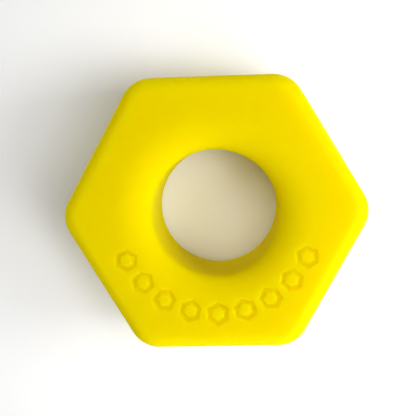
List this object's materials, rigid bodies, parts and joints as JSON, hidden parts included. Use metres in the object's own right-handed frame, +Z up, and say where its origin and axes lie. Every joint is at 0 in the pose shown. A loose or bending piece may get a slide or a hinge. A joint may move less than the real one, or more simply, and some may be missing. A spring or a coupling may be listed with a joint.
{
  "type": "hexagonal silicone ring",
  "caption": "Thick hexagonal ring of soft yellow silicone rubber, with a round bore flared towards both faces, rounded edges and an arc of small sunk marks on one face.",
  "frame": {"origin": "middle of the bore, on the face that the ring rests on", "axes": "+Z up along the bore, towards the marked face; +X through a corner of the hexagon; +Y through a side flat, with the arc of marks centred on -Y"},
  "size_m": [0.056, 0.05, 0.022],
  "materials": {
    "silicone": "dull, saturated yellow, slightly translucent silicone with a smooth moulded skin"
  },
  "bodies": {
    "root": {"ring": "silicone"}
  },
  "joints": []
}
